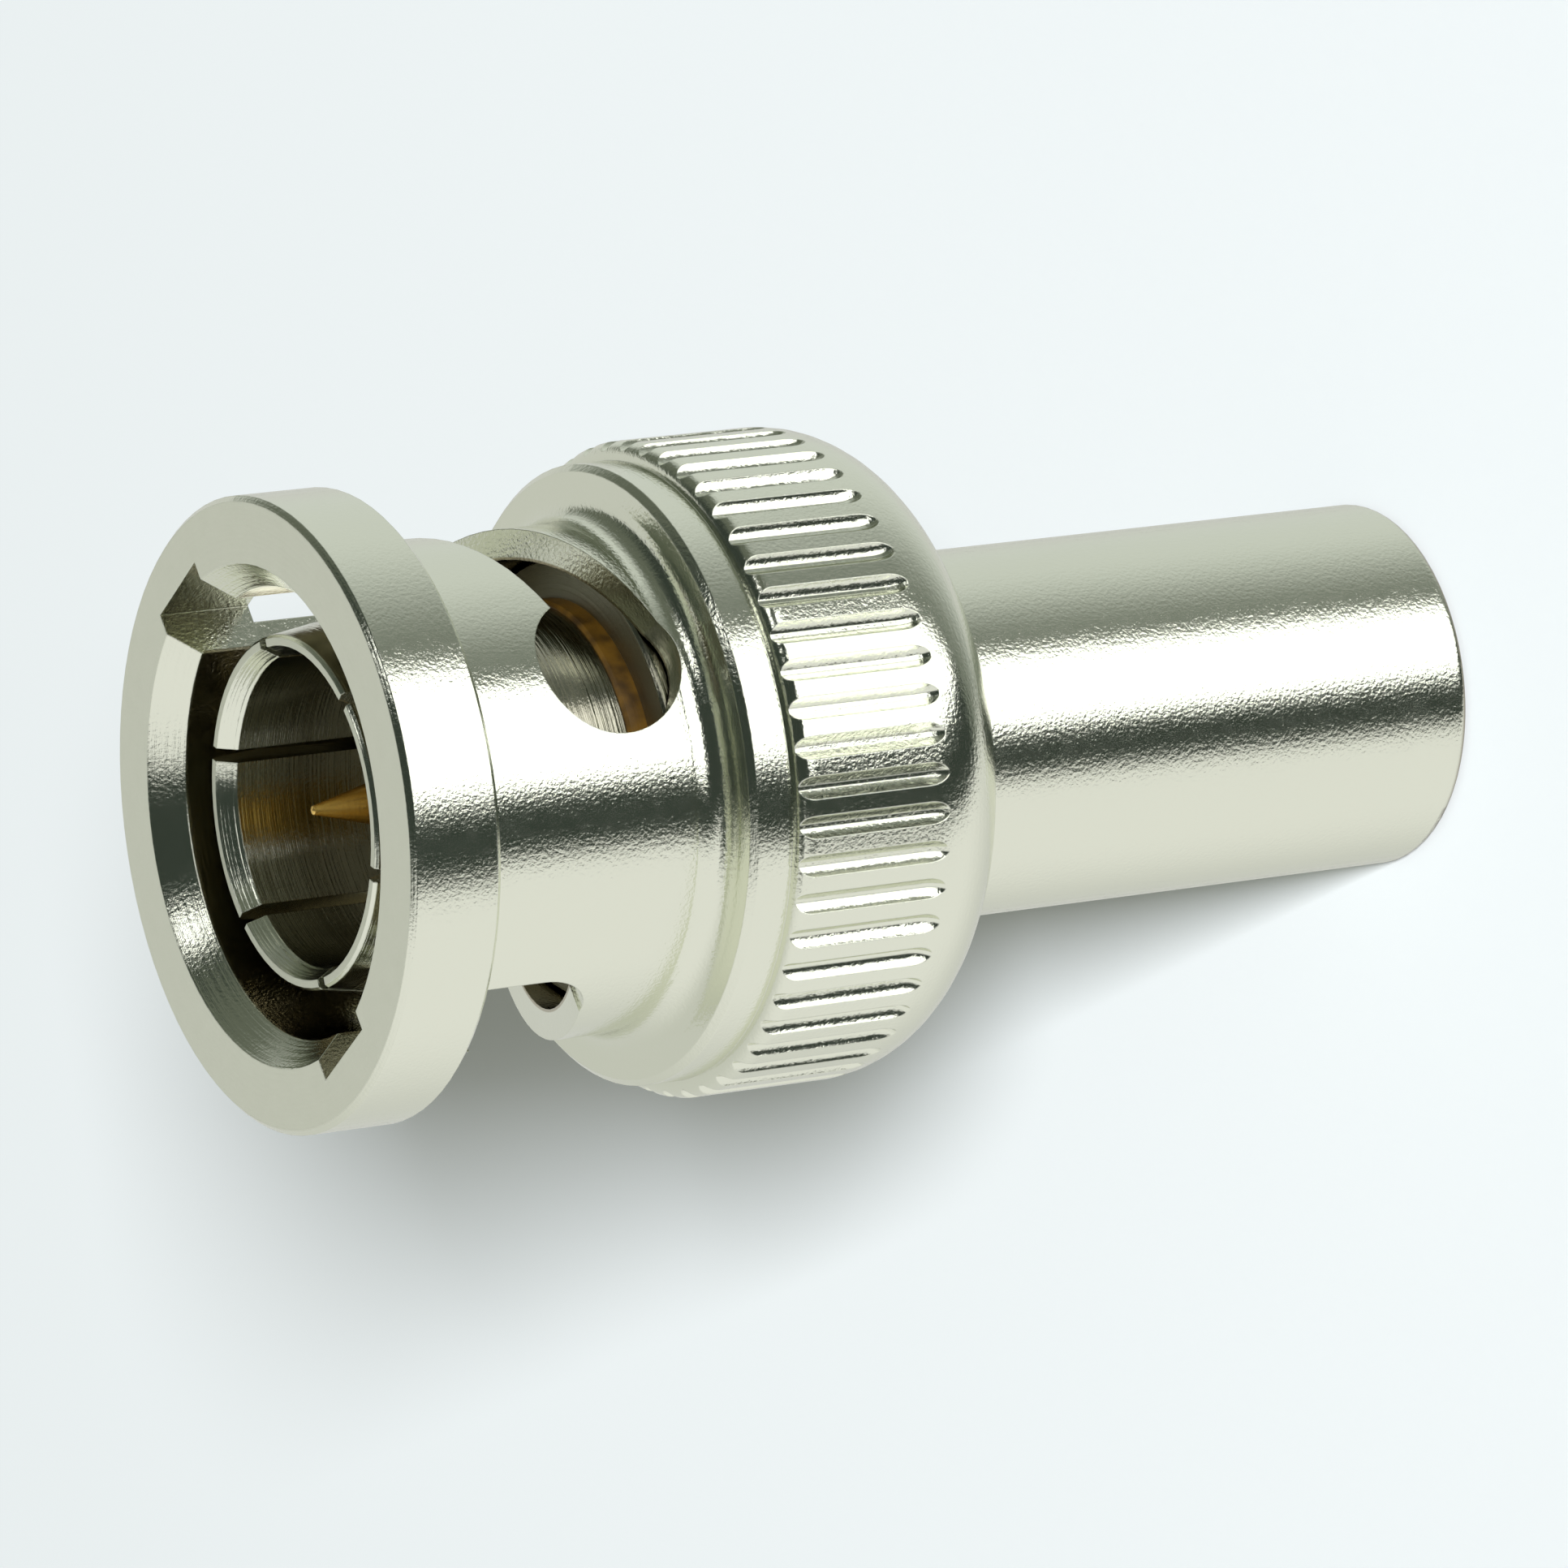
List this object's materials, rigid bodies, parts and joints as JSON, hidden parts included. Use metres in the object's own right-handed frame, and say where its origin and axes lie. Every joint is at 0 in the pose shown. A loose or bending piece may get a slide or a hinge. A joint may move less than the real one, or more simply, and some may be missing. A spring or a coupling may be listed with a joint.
{
  "type": "bnc cable plug",
  "caption": "Nickel-plated coaxial bayonet plug: knurled coupling nut with sloping lock slots, slotted outer contact, gold centre pin and a smooth cable barrel.",
  "frame": {"origin": "centre of the barrel's open end, on the surface that it stands on", "axes": "+Z along the plug's axis from the cable end to the bayonet mouth; +X towards the top of the pictured pose"},
  "size_m": [0.0144, 0.0144, 0.0284],
  "materials": {
    "nut_nickel": "bright nickel plate",
    "body_nickel": "turned, nickel plate",
    "barrel_nickel": "bright nickel plate",
    "insulator": "white fluoropolymer",
    "gold": "gold plate",
    "silicone": "amber silicone",
    "spring_bronze": "spring bronze",
    "washer_nickel": "nickel plate"
  },
  "bodies": {
    "plug_body": {"contact_body": "body_nickel", "barrel": "barrel_nickel", "front_insulator": "insulator", "rear_insulator": "insulator", "centre_pin": "gold", "gasket": "silicone", "wave_washer": "spring_bronze"},
    "spring_follower": {"thrust_washer": "washer_nickel"},
    "nut": {"coupling_nut": "nut_nickel"}
  },
  "joints": [
    {"name": "nut_push", "type": "slide", "parent": "plug_body", "child": "spring_follower", "axis": [0, 0, 1], "range_m": [0, 0.0007], "stiffness_N_per_m": 3000, "springref_m": -0.0003, "deforming": ["wave_washer"]},
    {"name": "nut_turn", "type": "hinge", "parent": "spring_follower", "child": "nut", "pos_m": [0, 0, 0.0158], "axis": [0, 0, 1], "continuous": true}
  ]
}
